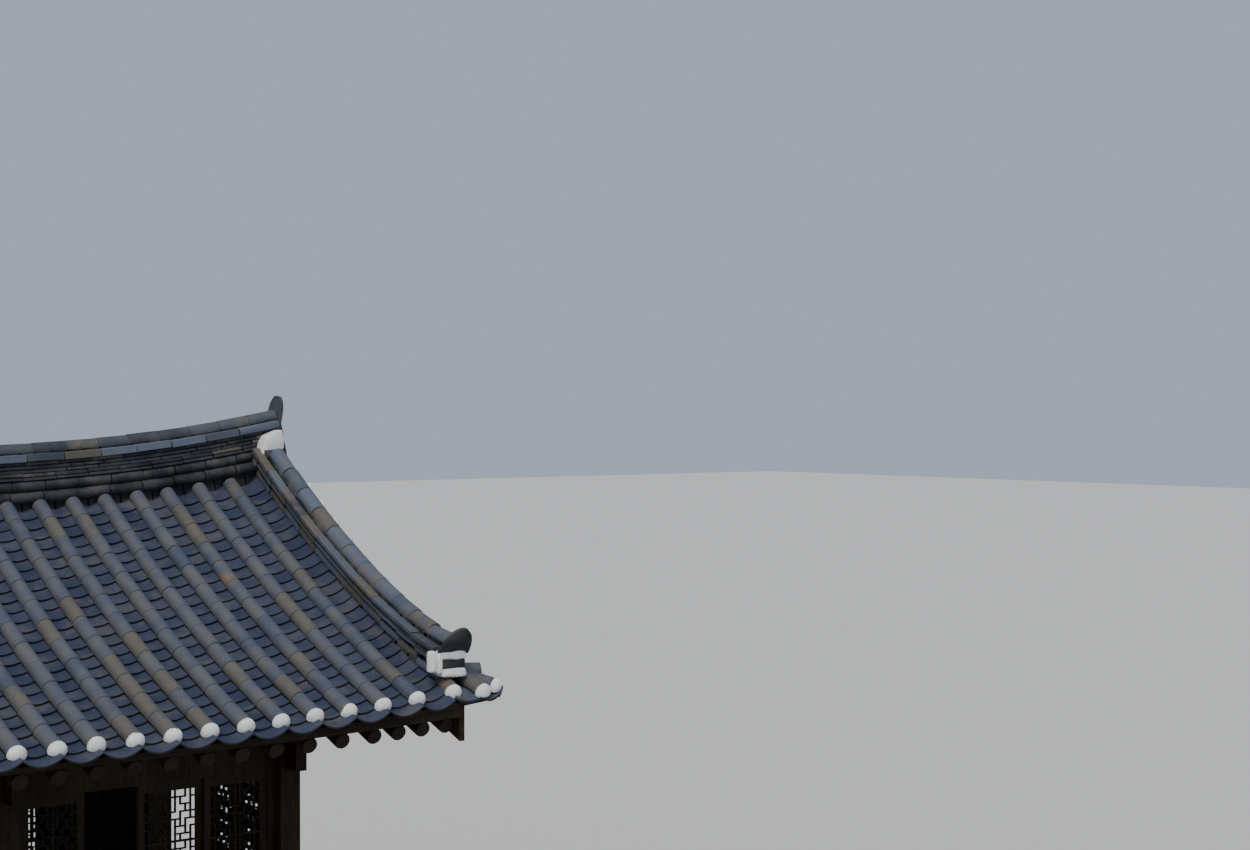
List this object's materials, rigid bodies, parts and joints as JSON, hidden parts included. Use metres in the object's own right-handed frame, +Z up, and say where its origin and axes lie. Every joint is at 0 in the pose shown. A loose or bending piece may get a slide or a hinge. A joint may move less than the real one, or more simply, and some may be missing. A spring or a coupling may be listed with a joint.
{
  "type": "hanok house with a gable roof",
  "caption": "Timber hanok house on a stone platform, with a curved gable roof of clay tiles and sliding lattice doors that open into one hollow room.",
  "frame": {"origin": "on the ground, under the middle of the house", "axes": "+X to the right along the front, +Y from the front to the back, +Z up"},
  "size_m": [10.16, 6.9318, 5.8583],
  "materials": {
    "wood": "oiled, weathered pine",
    "dark_wood": "dark, shaded rafters",
    "tile": "matt fired clay, blue grey",
    "stone": "dressed granite",
    "plaster": "lime plaster"
  },
  "bodies": {
    "house": {"stone_platform": "stone", "floor": "wood", "front_post_1": "wood", "front_post_2": "wood", "front_post_3": "wood", "front_post_4": "wood", "back_post_1": "wood", "back_post_2": "wood", "back_post_3": "wood", "back_post_4": "wood", "left_gable_post": "wood", "right_gable_post": "wood", "front_left_bay": "wood", "front_middle_bay": "wood", "front_right_frame": "wood", "back_left_bay": "wood", "back_middle_bay": "wood", "back_right_bay": "wood", "front_leaf_1": "wood", "front_leaf_4": "wood", "left_front_bay": "wood", "left_back_bay": "wood", "right_front_frame": "wood", "right_back_bay": "wood", "right_front_leaves": "wood", "cross_frame_1": "wood", "cross_frame_2": "wood", "cross_frame_3": "wood", "cross_frame_4": "wood", "front_eave_purlin": "wood", "back_eave_purlin": "wood", "front_middle_purlin": "wood", "back_middle_purlin": "wood", "ridge_purlin": "wood", "left_bargeboards": "wood", "right_bargeboards": "wood", "front_rafters": "dark_wood", "back_rafters": "dark_wood", "left_gable_wall": "plaster", "right_gable_wall": "plaster", "front_tile_bed": "tile", "back_tile_bed": "tile", "main_ridge": "tile", "front_left_ridge": "tile", "back_left_ridge": "tile", "front_right_ridge": "tile", "back_right_ridge": "tile"},
    "leaf_2": {"front_leaf_2": "wood"},
    "leaf_3": {"front_leaf_3": "wood"}
  },
  "joints": [
    {"name": "leaf_2_slide", "type": "slide", "parent": "house", "child": "leaf_2", "axis": [1, 0, 0], "range_m": [0, 0.461]},
    {"name": "leaf_3_slide", "type": "slide", "parent": "house", "child": "leaf_3", "axis": [1, 0, 0], "range_m": [0, 0.548]}
  ]
}
